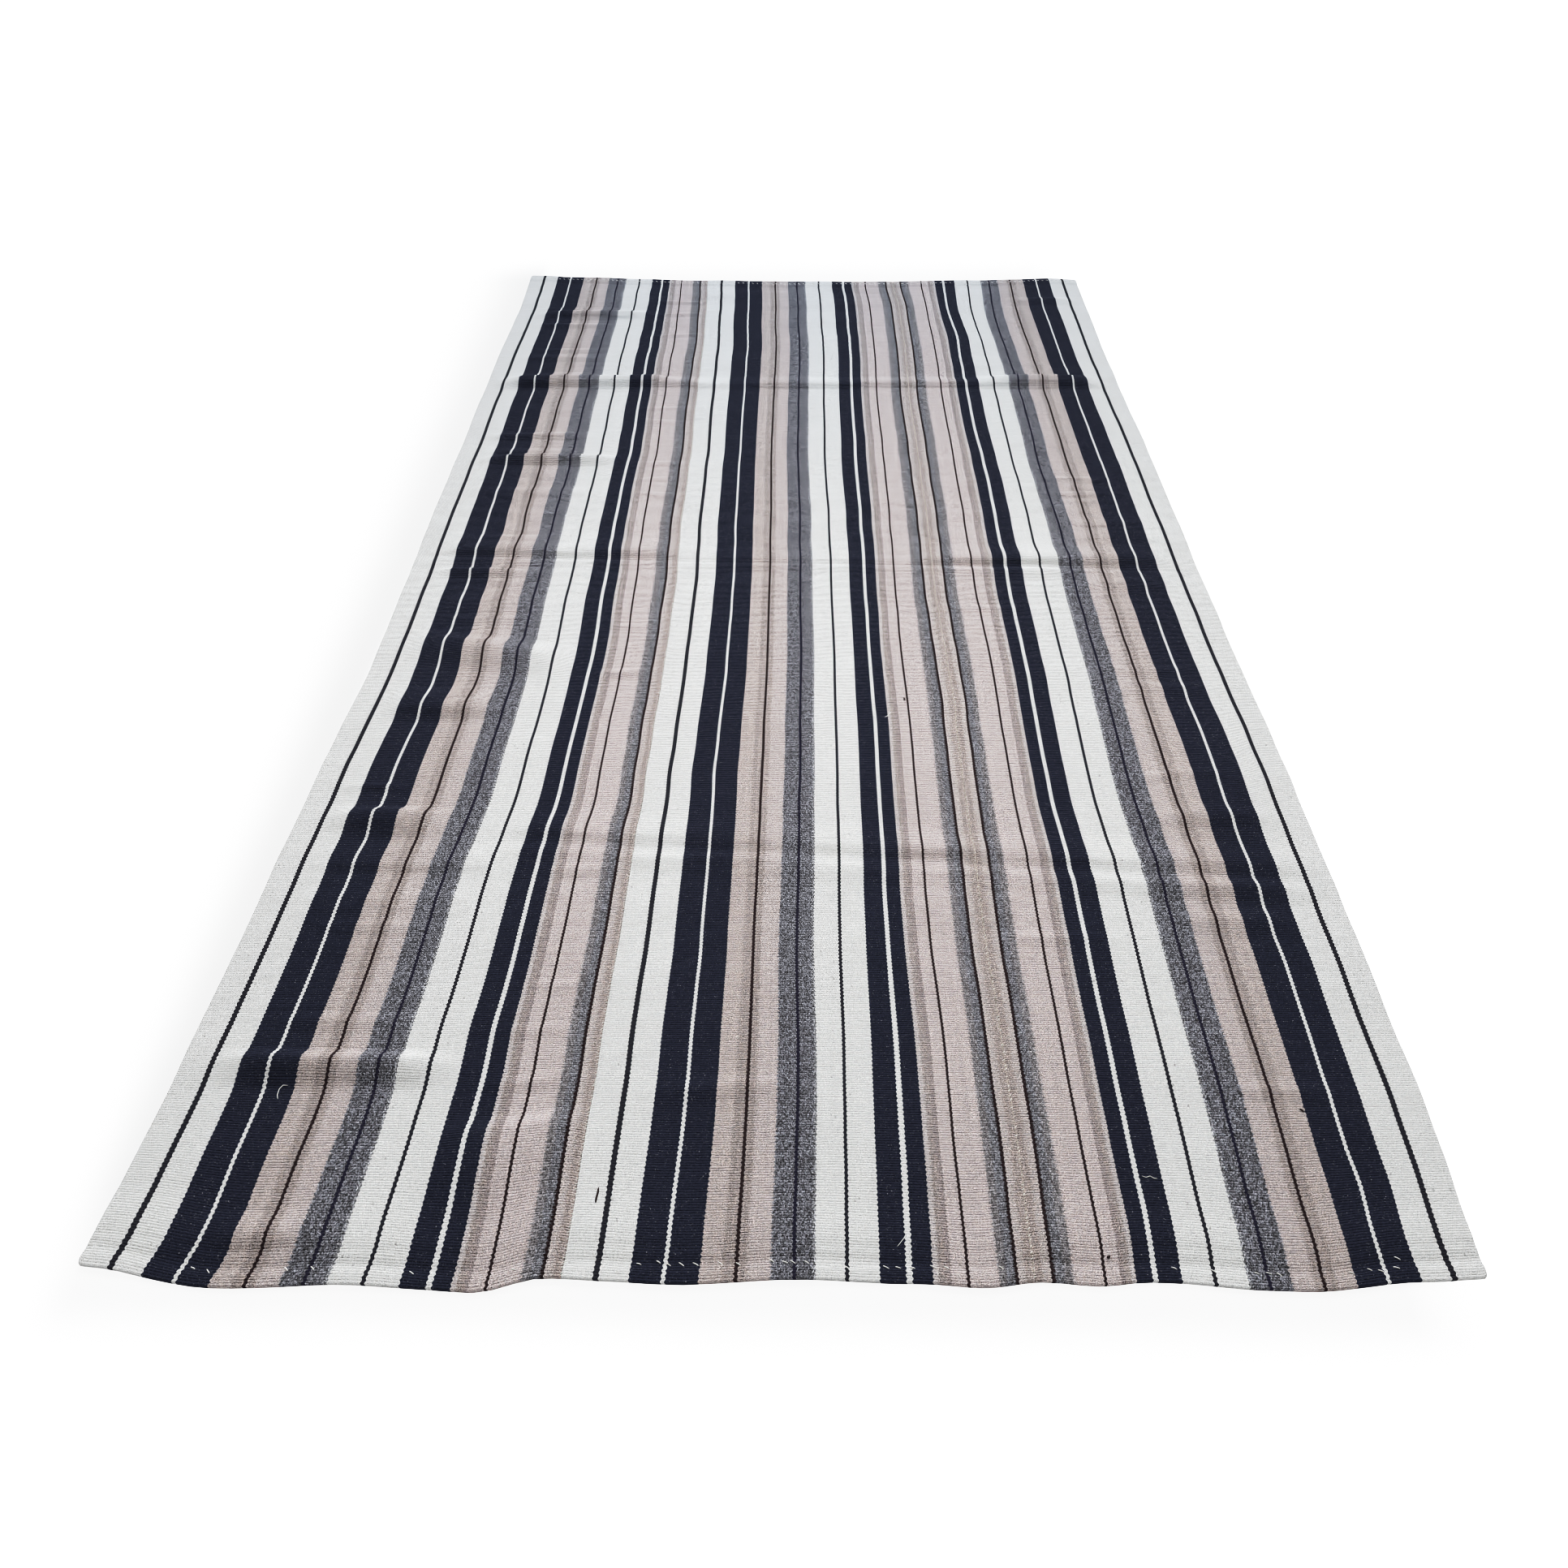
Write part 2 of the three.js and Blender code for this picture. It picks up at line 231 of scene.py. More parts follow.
# "columns" is a list of (how far the columns reach across, how many of them).
STRIPS = [
    Strip("sheet_left", LEFT_EDGE, LEFT_SEAM - HALF_GAP, False, "wool_left", "strip_left",
          [(LEFT_SEAM, 24)]),
    Strip("sheet_middle", LEFT_SEAM + HALF_GAP, RIGHT_SEAM - HALF_GAP, False, "wool_middle", "strip_middle",
          [(130.0, 11), (300.0, 13)]),
    Strip("sheet_right", RIGHT_SEAM + HALF_GAP, RIGHT_EDGE, True, "wool_right", "strip_right",
          [(RIGHT_EDGE, 24)]),
]

# The yarns: their linear colour, how much their tone changes, how much dark and light fibre is mixed in
# them and how much lint they show.
Yarn = namedtuple("Yarn", "colour streak pepper fleck", defaults=[0, 0])
WHITE = Yarn((0.75, 0.75, 0.742), 0.25)
WHITE_LINE = Yarn(WHITE.colour, 0.2)
BLACK = Yarn((0.032, 0.035, 0.056), 0.2, 0, 1)
BLACK_LINE = Yarn((0.038, 0.037, 0.047), 0, 0, 0.3)
BROWN_LINE = Yarn((0.042, 0.027, 0.029), 0, 0, 0.3)
SEAM_BROWN = Yarn(BROWN_LINE.colour, 0.3, 0, 0.3)
NAVY_LINE = Yarn((0.034, 0.031, 0.052), 0, 0, 0.3)
BEIGE = Yarn((0.515, 0.46, 0.443), 0.8)
TAUPE = Yarn((0.408, 0.362, 0.347), 1)
INNER_TAUPE = Yarn((0.402, 0.358, 0.344), 1)
PINK = Yarn((0.54, 0.485, 0.475), 0.7)
INNER_PINK = Yarn((0.575, 0.514, 0.506), 0.7)
PALE_BEIGE = Yarn((0.563, 0.528, 0.523), 0.6)
GREY = Yarn((0.199, 0.198, 0.217), 0.6, 1)
INNER_GREY = Yarn((0.226, 0.225, 0.243), 0.6, 0.8)
SEAM_TAUPE = Yarn((0.43, 0.379, 0.361), 1)
PALE_TAUPE = Yarn((0.525, 0.48, 0.468), 0.8)
DARK_TAUPE = Yarn((0.359, 0.315, 0.31), 1)
LIGHT_GREY = Yarn((0.262, 0.25, 0.258), 0.6, 0.8)
PALE_GREY = Yarn((0.32, 0.32, 0.335), 0.6, 1)
# Linear colours of what isn't woven.
COTTON = (0.90, 0.89, 0.86)
BEIGE_THREAD = (0.62, 0.56, 0.50)
DARK_WOOL = (0.06, 0.045, 0.045)
LINT = (0.50, 0.50, 0.54)
DARK_SPECK = (0.10, 0.09, 0.08)

# The stripes from a strip's first edge: how many warp threads wide, and their yarn.
STRIPES = [
    (32, WHITE), (6, BLACK_LINE), (31, WHITE), (32, BLACK), (4, WHITE_LINE), (31, BLACK), (20, BEIGE),
    (11.5, TAUPE), (3.5, BROWN_LINE), (8, TAUPE), (22, PINK), (21, GREY), (3.5, NAVY_LINE), (16.5, GREY),
    (3, PALE_GREY), (31, WHITE), (4, BLACK_LINE), (31, WHITE), (24.5, BLACK), (5.5, WHITE_LINE),
    (18, BLACK), (5, PALE_BEIGE), (7, INNER_TAUPE), (5, DARK_TAUPE), (15, INNER_PINK), (3, BROWN_LINE),
    (30, INNER_PINK), (9, LIGHT_GREY), (9, INNER_GREY), (3.5, SEAM_BROWN), (7.5, PALE_TAUPE),
    (9, SEAM_TAUPE),
]
# Where the yarns of two stripes are mixed: how many threads the mixing reaches, by the first thread of
# the second stripe.
SOFT_EDGES = {
    156: 2, 179: 2, 201: 1.5, 242: 1.5, 364: 2, 371: 2, 424: 3, 433: 3, 442: 1.5, 453: 3,
}

# How far in from the near hem its hand-sewn stitches lie where they show, by the place across.
SHOWN_STITCHES = {
    -750: 22, -729: 20, -632: 21, -599: 20, -476: 19, -347: 18, -186: 24, -161: 27, -148: 24, -132: 24,
    -115: 24, -86: 24, -65: 22, -25: 24, -9: 22, 1: 22, 19: 22, 73: 18, 124: 20, 138: 20, 154: 20, 178: 22,
    194: 22, 266: 23, 495: 18, 545: 18, 601: 20, 617: 21, 630: 20, 724: 20, 749: 20, 763: 16, 785: 18,
    791: 30,
}
# The far hem's stitches: how far in from the hem they lie, the first and the last one from the edges, and
# how far apart.
FAR_STITCH_INSET = 20.5
FAR_STITCH_FIRST = 70.0
FAR_STITCH_LAST = 12.0
FAR_STITCH_STEP = 15.0
# The least and the most of the hems' stitches, how high they rise, and how every stitch dips and arches.
HEM_STITCH_LENGTH = (7.0, 10.0)
HEM_STITCH_DEGREES = (-42, -12)
HEM_STITCH_RADIUS = (0.75, 0.95)
HEM_STITCH_RISE = 0.9
NEAR_HEM_SEED = 31
FAR_HEM_SEED = 32
STITCH_SINK = 0.75
STITCH_BED = 0.35
STITCH_ARCH = 0.6
# How far a thread is thinned at its ends, and over which share of its length.
THREAD_TIP = 0.55
THREAD_END = 0.2

# The overcast stitches of the seams, and how much they vary. The first of each pair is the least.
Sewing = namedtuple("Sewing", "seam spacing reach lean seed")
LEFT_SEWING = Sewing(LEFT_SEAM, 5.5, 4.5, 3.0, 33)
RIGHT_SEWING = Sewing(RIGHT_SEAM, 5.8, 3.4, 2.5, 34)
RIGHT_DOTS = Sewing(RIGHT_SEAM, 10.0, 3.4, 2.4, 35)
SEWING_END = 6.0
SPACING_SHARE = (0.5, 1.5)
REACH_SHARE = (0.7, 1.35)
LEAN_SHARE = (0.5, 1.4)
SEWING_ASIDE = (-0.8, 0.8)
SEWING_RADIUS = (0.5, 0.75)
SEWING_RISE = 0.3

# The yarn along the right seam.
CORD_STEP = 6.0
CORD_DEPTH = 0.75
CORD_RADIUS = 0.55

# Loose ends, knots and slubs of yarn on the cloth: where each starts, how thick it is and the way it runs
# on in steps of (across, along).
LooseEnd = namedtuple("LooseEnd", "across along radius steps")
LIGHT_ENDS = [
    LooseEnd(-737, 238, 0.7, [(-3, 6), (0, 8), (4, 5), (7, 0)]),
    LooseEnd(171, 1066, 0.7, [(5, 3), (6, 9), (4, 5)]),
    LooseEnd(476, 138, 0.6, [(5, -2), (6, 2), (5, -3), (4, 0)]),
    LooseEnd(138, 46, 0.5, [(4, 5), (5, 6)]),
]
DARK_ENDS = [
    LooseEnd(214, 1116, 1.7, [(1, 4), (-1, 4)]),
    LooseEnd(405, 34, 1.6, [(2, 1), (2, 1)]),
    LooseEnd(719, 236, 1.3, [(3, -1), (2, -3)]),
    LooseEnd(-256, 98, 1.4, [(0, 6), (1, 7), (0, 6)]),
]
# How high one lies for its thickness, and its points for each step.
LOOSE_HEIGHT = 0.6
LOOSE_POINTS = 4

# How sharp the picture is: how far each pixel gathers its light, in pixels.
PIXEL_FILTER = 0.9

# The camera, found from the rug's corners in the photograph, whose frame is square.
PHOTO_SIDE = 1932.0
FOCAL_PIXELS = 1400.0
SENSOR = 36.0
CAMERA_ACROSS = 34.4
CAMERA_ALONG = -594.4
CAMERA_HEIGHT = 1464.3
CAMERA_TURN = 0.02743
CAMERA_DOWN = 0.78042
CAMERA_ROLL = 0.01330

# The photograph's tone: its light parts are pressed together and its middle parts spread out. Each point
# is (how light the scene is, how light it is shown).
VIEW_CURVE = [
    (0.0, 0.0), (0.03, 0.025), (0.08, 0.08), (0.15, 0.19), (0.25, 0.36), (0.32, 0.48), (0.39, 0.59),
    (0.49, 0.70), (0.585, 0.795), (0.70, 0.89), (0.85, 0.975), (0.95, 1.0),
]

# The wool's material. Each kind of grain is noise with a reach across and along, the streaks' in threads.
Grain = namedtuple("Grain", "across along detail roughness")
SWAY = Grain(13.0, 6.0, 1.0, 0.5)
STREAKS = Grain(1 / 0.6, 700.0, 2.0, 0.6)
FIBRES = Grain(1.5, 1.2, 3.0, 0.75)
MOTTLE = Grain(3.0, 5.0, 1.0, 0.5)
HEATHER = Grain(1.7, 2.6, 2.0, 0.65)
SEED_STEP = 100.0
# How much a noise changes the tone of a yarn by its streak, its pepper and its fleck, and that of every
# yarn, and the least tone that it leaves.
Shade = namedtuple("Shade", "streak pepper fleck every least", defaults=[0] * 5)
WARMER = (1.035, 1.0, 0.965)
COOLER = (0.975, 1.0, 1.03)
# Painted light: the light yarns get lighter and greyer away from the near hem, where the view grazes the
# cloth: how much, and over what length.
LIGHTER = 0.10
LIGHTER_OVER = 1000.0
GREYER = 0.15
GREYER_OVER = 2400.0
# Lint and specks: their share of the cloth and how strongly they show.
LINT_SIZE = 1.1
BRIGHT_LINT = 0.0012
BRIGHT_LINT_SHOWS = 0.7
FAINT_LINT = 0.035
FAINT_LINT_SHOWS = 0.28
DARK_SPECKS = 0.002
DARK_SPECKS_SHOW = 0.45
# How far the ribs sway, how far the edges of the stripes swing, fray and mix, and how the beads slant.
RIB_SWAY = 0.45
EDGE_SWING = 0.65
EDGE_FRAY = 0.8
EDGE_MIXING = 5.0
BEAD_SLANT = 0.25
# Painted shade in the grooves beside beads and between ribs: how dark, how narrow, and how the fibres break
# it up.
BEAD_GROOVE = 0.04
BEAD_GROOVE_POWER = 3.0
RIB_GROOVE = 0.88
RIB_GROOVE_POWER = 2.5
GROOVE_FIBRES = -5.0
GROOVE_LEAST = 0.2
GROOVE_STREAK = 0.5
GROOVE_EVERY = 0.7
GROOVE_LIGHT = 0.7
# The relief of the beads, in millimetres: their dome, the twist of their yarn and its fibres.
DOME = 0.1
TWIST = 0.03
TWIST_ACROSS = 5.0
TWIST_ALONG = 6.0
FIBRES_RELIEF = 0.6
WOOL_ROUGHNESS = 0.88
ROUGHNESS_SPREAD = 0.08
WOOL_SHINE = 0.06

# The sewing thread's material: how close its fibres, patches and plies lie, by the metre, and their relief.
THREAD_FIBRES = 2600.0
THREAD_PATCHES = 45.0
THREAD_PLIES = 5200.0
PLIES_RELIEF = 0.08
THREAD_RELIEF = 0.25
THREAD_ROUGHNESS = 0.78
THREAD_SPREAD = 0.15
THREAD_SHINE = 0.1

# The stage, in metres, watts and degrees.
FLOOR_SIZE = 14.0
FLOOR_GAP = 0.0002
FLOOR_COLOUR = (0.08, 0.08, 0.08)
FLOOR_ROUGHNESS = 0.9
FLOOR_SHINE = 0.1
FLOOR_GLOW = 0.95
# A painted shadow on the floor: its glow is dimmed beside the rug's left side and its hems, by how much,
# from where and over how far.
FLOOR_PAINTED_SHADOW = 0.205
LEFT_PAINTED_SHADOW = 0.095
LEFT_ACROSS = 0.85
LEFT_REACH = 0.03
SHADE_ACROSS = 0.89
SHADE_ALONG = 1.635
SHADE_SHIFT = 0.03
SHADE_REACH = 0.205
SHADE_GROWTH = 0.064
SHADE_FADE = 0.11
WINDOW_POWER = 1.95
WINDOW_COLOUR = (0.98, 0.99, 1.0)
WINDOW_ANGLE = 28.0
WINDOW_TILT = 50.0
WINDOW_TURN = 8.0
ROOM_LIGHT = 0.14
LAMP_SIZE = 1.4
Lamp = namedtuple("Lamp", "name power colour place")
LAMPS = [
    Lamp("ceiling_light", 14.5, (1.0, 0.99, 0.97), (0.0, -0.35, 1.9)),
    Lamp("far_light", 7.5, (0.435, 0.684, 1.0), (0.0, 1.9, 1.8)),
]


def ease(share):
    """A soft start and end between 0 and 1."""
    share = np.clip(share, 0.0, 1.0)
    return share * share * (3.0 - 2.0 * share)


def between(places, values, place):
    """The values of a table's column at places between its rows."""
    places = np.array(list(places), float)
    values = np.array(list(values), float)
    after = np.clip(np.searchsorted(places, place), 1, len(places) - 1)
    share = ease((place - places[after - 1]) / (places[after] - places[after - 1]))
    return values[after - 1] + (values[after] - values[after - 1]) * share


def soft_noise(x, y, seed):
    """Smooth noise between -1 and 1, with about one feature to each unit of x and y."""
    size = 128
    grid = np.random.RandomState(seed).uniform(-1.0, 1.0, (size, size))
    left, low = np.floor(x).astype(int), np.floor(y).astype(int)
    right_share, high_share = ease(x - left), ease(y - low)
    left, low = left % size, low % size
    right, high = (left + 1) % size, (low + 1) % size
    bottom = grid[left, low] * (1 - right_share) + grid[right, low] * right_share
    top = grid[left, high] * (1 - right_share) + grid[right, high] * right_share
    return bottom * (1 - high_share) + top * high_share


def bumps(kind, across, along):
    """Noise between -1 and 1 whose bumps are as large as their kind says."""
    return soft_noise(across / kind.across + BUMPS_START[0], along / kind.along + BUMPS_START[1], kind.seed)


def wander(across, along):
    """How far the cloth lies to the right of its place on a straight rug."""
    lines = [between(WANDER, drifts, along) for drifts in zip(*WANDER.values())]
    drift = lines[0] * np.ones_like(across)
    for line in range(len(lines) - 1):
        start, end = WANDER_LINES[line], WANDER_LINES[line + 1]
        share = ease((across - start) / (end - start))
        drift = np.where(across > start, lines[line] + (lines[line + 1] - lines[line]) * share, drift)
    return drift + MEANDER.size * bumps(MEANDER, across, along)


def hem_drift(across, along):
    """How far the cloth lies beyond its place along, because its hems aren't straight."""
    near = between(NEAR_HEM, NEAR_HEM.values(), across)
    far = between(FAR_HEM, FAR_HEM.values(), across)
    near_share = 1 - ease(along / HEM_DRIFT_REACH)
    far_share = 1 - ease((RUG_LENGTH - along) / HEM_DRIFT_REACH)
    return near * near_share + far * far_share


def seam_pull(across, along):
    """How far the ribs bend towards the near hem beside the seams."""
    from_end = np.minimum(along, RUG_LENGTH - along)
    reach = SEAM_PULL * ease(from_end / HEM_DEPTH)
    return sum(reach * np.exp(-np.abs(across - seam) / SEAM_PULL_REACH) for seam in (LEFT_SEAM, RIGHT_SEAM))


def fold_height(fold, across, along):
    """A rounded crest that runs out on the floor on both sides."""
    distance = along - fold.at - fold.slant * (across - (fold.left + fold.right) / 2)
    ends = 1.0
    if fold.fade:
        ends = ease((across - fold.left) / fold.fade) * ease((fold.right - across) / fold.fade)
    return fold.height * ends * ease(1 - np.abs(distance) / np.where(distance < 0, fold.near, fold.far))


def sharp_crest(distance, near, far):
    """The height of a sharp fold of height 1 at a distance past its crest."""
    reach = np.where(distance < 0, near, far)
    softened = np.sqrt(distance ** 2 + CREST_RADIUS ** 2) - CREST_RADIUS
    full = np.sqrt(reach ** 2 + CREST_RADIUS ** 2) - CREST_RADIUS
    return np.clip(1 - softened / full, 0, 1) ** CREST_SHARPNESS


def askew_height(fold, across, along):
    """The height of a crease that runs askew between two points of the cloth."""
    run_across, run_along = fold.to_across - fold.across, fold.to_along - fold.along
    length = math.hypot(run_across, run_along)
    run = ((across - fold.across) * run_across + (along - fold.along) * run_along) / length ** 2
    beside = ((across - fold.across) * run_along - (along - fold.along) * run_across) / length
    ends = ease(run / ASKEW_START) * ease((1 - run) / ASKEW_END)
    return fold.height * ends * sharp_crest(beside, fold.left, fold.right)


def lift(across, along):
    """The height of the cloth's underside above the floor."""
    folds = sum(fold_height(fold, across, along) for fold in FOLDS)
    askew = askew_height(ASKEW, across, along) + askew_height(TUCK, across, along)
    swell = SWELL.size * np.clip(bumps(SWELL, across, along) + FLAT_SHARE, 0, 1)
    ripple = RIPPLE.size * (1 + bumps(RIPPLE, across, along)) / 2
    return folds + askew + swell + ripple


def thickness(along):
    """How thick the cloth lies: double at the hems, and pressed down along the near hem's stitches."""
    from_end = np.minimum(along, RUG_LENGTH - along)
    groove = STITCH_GROOVE * ease(1 - np.abs(along - STITCH_LINE) / STITCH_GROOVE_REACH)
    return CLOTH_THICKNESS * (2 - ease((from_end - HEM_DEPTH) / HEM_EASE)) - groove


def seam_pucker(across, along):
    """The small puckers that the sewing draws into the cloth along the seams."""
    total = 0.0
    for seam, seed in PUCKER_SEEDS.items():
        near_seam = np.exp(-np.abs(across - seam) / PUCKER_REACH)
        noise = soft_noise(along / PUCKER_ALONG + PUCKER_START, (across > seam) * PUCKER_APART, seed)
        total += near_seam * np.clip(noise, PUCKER_DIP, 1)
    return PUCKER * total


def hem_pull(across, along):
    """How far the cloth is drawn to the right at the near hem."""
    at_hem, beyond = (between(HEM_PULL, pulls, across) for pulls in zip(*HEM_PULL.values()))
    away = ease(along / HEM_PULL_REACH)
    gone = ease((along - HEM_PULL_REACH) / (HEM_PULL_END - HEM_PULL_REACH))
    return at_hem * (1 - away) + beyond * away * (1 - gone)


def nudged(across, along):
    """How far single stripes lie to the right of where the rest of the cloth would have them."""
    return sum(nudge.to_right * ease(1 - np.abs(across - nudge.across) / nudge.reach_across)
               * ease(1 - np.abs(along - nudge.along) / nudge.reach_along) for nudge in NUDGES)


def corner_round(across, along):
    """How far the rug's rounded corners lie in from its hems."""
    inset = np.clip(CORNER_RADIUS - np.minimum(across - LEFT_EDGE, RIGHT_EDGE - across), 0, CORNER_RADIUS)
    cut = CORNER_RADIUS - np.sqrt(CORNER_RADIUS ** 2 - inset ** 2)
    return cut * (ease((RUG_LENGTH - along) / CORNER_REACH) - ease(along / CORNER_REACH))


def plan(across, along):
    """Where a place on the cloth lies on the floor, before the rug is centred."""
    x = across + wander(across, along) + hem_pull(across, along) + nudged(across, along)
    y = along + hem_drift(across, along) - seam_pull(across, along) + corner_round(across, along)
    y = y + RIB_BEND.size * bumps(RIB_BEND, across, along)
    return x, y


def top_height(across, along):
    """The height of the cloth's upper face, at the crests of its ribs."""
    return lift(across, along) + thickness(along) + seam_pucker(across, along)


def column_places(strip):
    """Where the grid's columns lie across a strip: close at its edges, and otherwise as its table says."""
    places = [strip.left + step for step in EDGE_COLUMNS]
    last = [strip.right - step for step in reversed(EDGE_COLUMNS)]
    for reach, count in strip.columns:
        places.extend(np.linspace(places[-1], min(reach, last[0]), count + 1)[1:])
    return np.array(places + last[1:])


def nose_rows(end, edge_along):
    """The rows that turn round a hem, as (along, height share of the hem, weave along)."""
    turn = np.linspace(0, math.pi, NOSE_ROWS + 1)[1:]
    arc = math.pi * (HEM_NOSE + CLOTH_THICKNESS) / 2
    along = edge_along + end * HEM_NOSE * np.sin(turn)
    height = (1 + np.cos(turn)) / 2
    weave = (RUG_LENGTH if end > 0 else 0.0) + end * arc * turn / math.pi
    return list(zip(along, height, weave))


def strip_grid(strip):
    """The points of a strip's grid: rows from under the near hem over the top to under the far hem, then
    those of the underside."""
    columns = column_places(strip)
    near = nose_rows(-1, HEM_NOSE)[::-1]
    count = RIBS * ROWS_PER_RIB + 1
    main_along = np.linspace(HEM_NOSE, RUG_LENGTH - HEM_NOSE, count)
    main = list(zip(main_along, np.ones(count), np.linspace(0, RUG_LENGTH, count)))
    top = near + main + nose_rows(1, RUG_LENGTH - HEM_NOSE)
    under = [(along, 0.0, weave) for along, _, weave in main[UNDER_STEP:-1:UNDER_STEP]]
    rows = np.array(top + under)
    across, along = np.meshgrid(columns, rows[:, 0])
    _, weave_along = np.meshgrid(columns, rows[:, 2])

    inside = np.clip(along, HEM_NOSE, RUG_LENGTH - HEM_NOSE)
    from_edge = np.minimum(across - strip.left, strip.right - across)
    valley = np.zeros((len(rows), 1))
    valley[len(near):len(near) + len(main):ROWS_PER_RIB] = 1.0
    upper = thickness(inside) + seam_pucker(across, inside)
    upper = upper - EDGE_DROP * (1 - ease(from_edge / EDGE_ROUND)) - RIB_DEPTH * valley
    outer = np.where(across == strip.left, 1.0, 0.0) - np.where(across == strip.right, 1.0, 0.0)
    x, y = plan(across, inside)
    z = lift(across, inside) + upper * rows[:, 1:2]
    points = np.stack([x + SCALLOP * valley * outer, y + (along - inside), z], axis=-1)
    return points, across, weave_along, len(top), len(under)


def grid_faces(rows, columns, upward):
    """The quads between rows of a grid whose rows are numbers of whole rows of points."""
    rows = np.asarray(rows)
    low, high = rows[:-1, None] * columns, rows[1:, None] * columns
    step = np.arange(columns - 1)[None, :]
    corners = [low + step, low + step + 1, high + step + 1, high + step]
    quads = np.stack(corners, axis=-1).reshape(-1, 4)
    return quads if upward else quads[:, ::-1]


def strip_faces(columns, top_rows, under_rows):
    """The faces of a strip: its top with both noses, its underside and its two rims."""
    top = grid_faces(np.arange(top_rows), columns, True)
    last = top_rows - 1
    under_order = [0, *range(top_rows, top_rows + under_rows), last]
    under = grid_faces(under_order, columns, False)
    rims = []
    stops = [0, *(NOSE_ROWS + UNDER_STEP * index for index in range(1, under_rows + 1)), last]
    for side in (0, columns - 1):
        for index in range(under_rows + 1):
            upper = [row * columns + side for row in range(stops[index], stops[index + 1] + 1)]
            lower = [under_order[index] * columns + side, under_order[index + 1] * columns + side]
            ring = upper + [corner for corner in reversed(lower) if corner not in upper]
            rims.append(ring[::-1] if side else ring)
    return top, under, rims


def placed(name, data):
    """A new object of the scene."""
    thing = bpy.data.objects.new(name, data)
    bpy.context.scene.collection.objects.link(thing)
    return thing


def new_mesh(name, points, faces):
    """A mesh object from points in millimetres, centred on the frame."""
    mesh = bpy.data.meshes.new(name)
    centred = (np.asarray(points, float) - np.array([CENTRE_X, CENTRE_Y, 0.0])) * MM
    mesh.from_pydata(centred.tolist(), [], faces)
    mesh.validate()
    mesh.shade_smooth()
    return placed(name, mesh)


# The flat map of a strip, in shares of its square: its top, its two rims and its underside side by side.
MAP_MARGIN = 0.01
MAP_TOP_WIDTH = 0.74
MAP_RIM_LEFT = 0.76
MAP_RIM_WIDTH = 0.006
MAP_RIM_HEIGHT = 40.0
MAP_UNDER_LEFT = 0.79
MAP_UNDER_WIDTH = 0.20
MAP_SPARE = 12.0


def bake_map(mesh, across_share, weave_along, top_corners, under_corners):
    """The strip's flat map, from its faces' order and its points' places in the weave."""
    layer = mesh.uv_layers.new(name="OFBake")
    corner_vertex = np.zeros(len(mesh.loops), int)
    mesh.loops.foreach_get("vertex_index", corner_vertex)
    corner = np.arange(len(mesh.loops))
    rim = corner >= top_corners + under_corners
    under = (corner >= top_corners) & ~rim
    share = across_share[corner_vertex]
    run = (weave_along[corner_vertex] + MAP_SPARE) / (RUG_LENGTH + 2 * MAP_SPARE)
    v = MAP_MARGIN + (1 - 2 * MAP_MARGIN) * run
    u = MAP_MARGIN + MAP_TOP_WIDTH * share
    u = np.where(under, MAP_UNDER_LEFT + MAP_UNDER_WIDTH * share, u)
    places = np.zeros(len(mesh.vertices) * 3)
    mesh.vertices.foreach_get("co", places)
    height = places[2::3][corner_vertex] / (MAP_RIM_HEIGHT * MM)
    u = np.where(rim, MAP_RIM_LEFT + MAP_RIM_WIDTH * (height + 2.0 * (share > 0.5)), u)
    layer.data.foreach_set("uv", np.stack([u, v], axis=-1).astype(np.float32).ravel())


def make_sheet(strip, index):
    """One woven strip, with its ribs, folds and turned-under hems."""
    points, across, weave_along, top_rows, under_rows = strip_grid(strip)
    top, under, rims = strip_faces(points.shape[1], top_rows, under_rows)
    faces = top.tolist() + under.tolist() + rims
    sheet = new_mesh(strip.name, points.reshape(-1, 3), faces)

    share = ((across - strip.left) / (strip.right - strip.left)).ravel()
    from_first = (1 - share if strip.mirrored else share) * NOMINAL_WIDTH
    seeds = np.full(share.shape, SEED_STEP * (index + 1))
    place = np.stack([from_first, weave_along.ravel() + SPARE_RIBS * RIB_PITCH, seeds], axis=-1)
    cloth = sheet.data.attributes.new("cloth", "FLOAT_VECTOR", "POINT")
    cloth.data.foreach_set("vector", place.astype(np.float32).ravel())
    bake_map(sheet.data, share, weave_along.ravel(), top.size, under.size)
    return sheet


# Where a mix node's colours are among its sockets.
COLOUR_A = 6
COLOUR_B = 7
COLOUR_RESULT = 2


